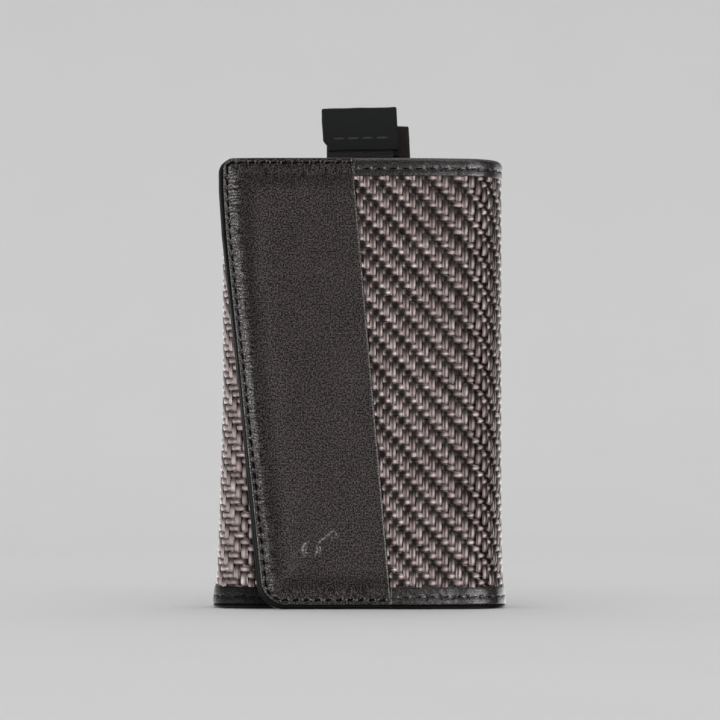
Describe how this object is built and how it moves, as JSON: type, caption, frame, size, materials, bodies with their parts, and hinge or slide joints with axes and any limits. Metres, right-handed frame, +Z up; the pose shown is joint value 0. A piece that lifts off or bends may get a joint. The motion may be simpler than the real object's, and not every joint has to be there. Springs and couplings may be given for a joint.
{
  "type": "key organiser",
  "caption": "Folding key organiser: a woven and leather cover wraps slip pockets with pull tabs and a bar of swivel key hooks, and closes with hidden magnets.",
  "frame": {"origin": "middle of the closed case's lower edge, on the surface it stands on", "axes": "+X to the right and +Y to the back, seen from the flap's side; +Z up, towards the pull tabs"},
  "size_m": [0.0656, 0.02, 0.1198],
  "materials": {
    "woven_cover": "glossy two-over-two twill of flat fibre bundles",
    "black_leather": "fine-grained, matte, stitched",
    "lining": "smooth dark lining",
    "stiffener": "thin flexible sheet",
    "padding": "thin foam",
    "magnet": "nickel-plated",
    "pocket_leather": "matte, fine-grained",
    "ribbon": "grosgrain ribbon",
    "front_tab_leather": "matte, stitched",
    "rear_tab_leather": "matte brown-black, stitched",
    "bar_steel": "satin",
    "hook_steel": "polished",
    "rivet_steel": "polished"
  },
  "bodies": {
    "case": {"back_woven_cover": "woven_cover", "back_top_binding": "black_leather", "back_bottom_binding": "black_leather", "back_lining": "lining", "back_stiffener": "stiffener", "pocket_front_wall": "pocket_leather", "pocket_divider": "pocket_leather", "front_pocket_seam": "pocket_leather", "rear_pocket_seam": "pocket_leather", "key_bar": "bar_steel", "key_bar_rivets": "rivet_steel", "front_ribbon_fixed_leg": "ribbon", "rear_ribbon_fixed_leg": "ribbon"},
    "side_panel": {"side_woven_cover": "woven_cover", "side_top_binding": "black_leather", "side_bottom_binding": "black_leather", "side_padding": "padding", "side_lining": "lining"},
    "flap": {"flap_woven_cover": "woven_cover", "flap_leather_panel": "black_leather", "flap_top_binding": "black_leather", "flap_bottom_binding": "black_leather", "flap_lining": "lining", "flap_padding": "padding", "flap_magnets": "magnet"},
    "wing": {"wing_woven_cover": "woven_cover", "wing_top_binding": "black_leather", "wing_bottom_binding": "black_leather", "wing_edge_binding": "black_leather", "wing_stiffener": "stiffener", "wing_magnets": "magnet", "wing_lining": "lining"},
    "front_fold": {"front_ribbon_fold": "ribbon"},
    "front_pull": {"front_ribbon_pull_leg": "ribbon", "front_pull_tab": "front_tab_leather"},
    "rear_fold": {"rear_ribbon_fold": "ribbon"},
    "rear_pull": {"rear_ribbon_pull_leg": "ribbon", "rear_pull_tab": "rear_tab_leather"},
    "hook_1": {"key_hook_1": "hook_steel", "hook_gate_pin_1": "hook_steel"},
    "gate_1": {"hook_gate_1": "hook_steel"},
    "hook_2": {"key_hook_2": "hook_steel", "hook_gate_pin_2": "hook_steel"},
    "gate_2": {"hook_gate_2": "hook_steel"},
    "hook_3": {"key_hook_3": "hook_steel", "hook_gate_pin_3": "hook_steel"},
    "gate_3": {"hook_gate_3": "hook_steel"},
    "hook_4": {"key_hook_4": "hook_steel", "hook_gate_pin_4": "hook_steel"},
    "gate_4": {"hook_gate_4": "hook_steel"}
  },
  "joints": [
    {"name": "side_fold", "type": "hinge", "parent": "case", "child": "side_panel", "pos_m": [0.03148, 0.00868, 0.053], "axis": [0, 0, 1], "range_deg": [0, 90]},
    {"name": "flap_fold", "type": "hinge", "parent": "side_panel", "child": "flap", "pos_m": [0.02987, -0.00707, 0.053], "axis": [0, 0, 1], "range_deg": [0, 90]},
    {"name": "wing_fold", "type": "hinge", "parent": "case", "child": "wing", "pos_m": [-0.03024, -0.00494, 0.053], "axis": [0, 0, 1], "range_deg": [-90, 0]},
    {"name": "front_fold_slide", "type": "slide", "parent": "case", "child": "front_fold", "axis": [0, 0, 1], "range_m": [0, 0.014], "deforming": ["front_ribbon_fixed_leg"]},
    {"name": "front_pull_slide", "type": "slide", "parent": "front_fold", "child": "front_pull", "axis": [0, 0, 1], "range_m": [0, 0.014]},
    {"name": "rear_fold_slide", "type": "slide", "parent": "case", "child": "rear_fold", "axis": [0, 0, 1], "range_m": [0, 0.014], "deforming": ["rear_ribbon_fixed_leg"]},
    {"name": "rear_pull_slide", "type": "slide", "parent": "rear_fold", "child": "rear_pull", "axis": [0, 0, 1], "range_m": [0, 0.014]},
    {"name": "hook_1_swivel", "type": "hinge", "parent": "case", "child": "hook_1", "pos_m": [-0.0165, -0.0017, 0.0845], "axis": [0, 0, 1], "continuous": true},
    {"name": "gate_1_hinge", "type": "hinge", "parent": "hook_1", "child": "gate_1", "pos_m": [-0.014, -0.0017, 0.079], "axis": [0, 1, 0], "range_deg": [0, 17], "stiffness_Nm_per_rad": 0.004},
    {"name": "hook_2_swivel", "type": "hinge", "parent": "case", "child": "hook_2", "pos_m": [-0.0055, -0.0017, 0.0845], "axis": [0, 0, 1], "continuous": true},
    {"name": "gate_2_hinge", "type": "hinge", "parent": "hook_2", "child": "gate_2", "pos_m": [-0.003, -0.0017, 0.079], "axis": [0, 1, 0], "range_deg": [0, 17], "stiffness_Nm_per_rad": 0.004},
    {"name": "hook_3_swivel", "type": "hinge", "parent": "case", "child": "hook_3", "pos_m": [0.0055, -0.0017, 0.0845], "axis": [0, 0, 1], "continuous": true},
    {"name": "gate_3_hinge", "type": "hinge", "parent": "hook_3", "child": "gate_3", "pos_m": [0.008, -0.0017, 0.079], "axis": [0, 1, 0], "range_deg": [0, 17], "stiffness_Nm_per_rad": 0.004},
    {"name": "hook_4_swivel", "type": "hinge", "parent": "case", "child": "hook_4", "pos_m": [0.0165, -0.0017, 0.0845], "axis": [0, 0, 1], "continuous": true},
    {"name": "gate_4_hinge", "type": "hinge", "parent": "hook_4", "child": "gate_4", "pos_m": [0.019, -0.0017, 0.079], "axis": [0, 1, 0], "range_deg": [0, 17], "stiffness_Nm_per_rad": 0.004}
  ],
  "couplings": [
    {"joint": "wing_fold", "follows": "flap_fold", "ratio": -1},
    {"joint": "front_pull_slide", "follows": "front_fold_slide", "ratio": 1},
    {"joint": "rear_pull_slide", "follows": "rear_fold_slide", "ratio": 1}
  ]
}
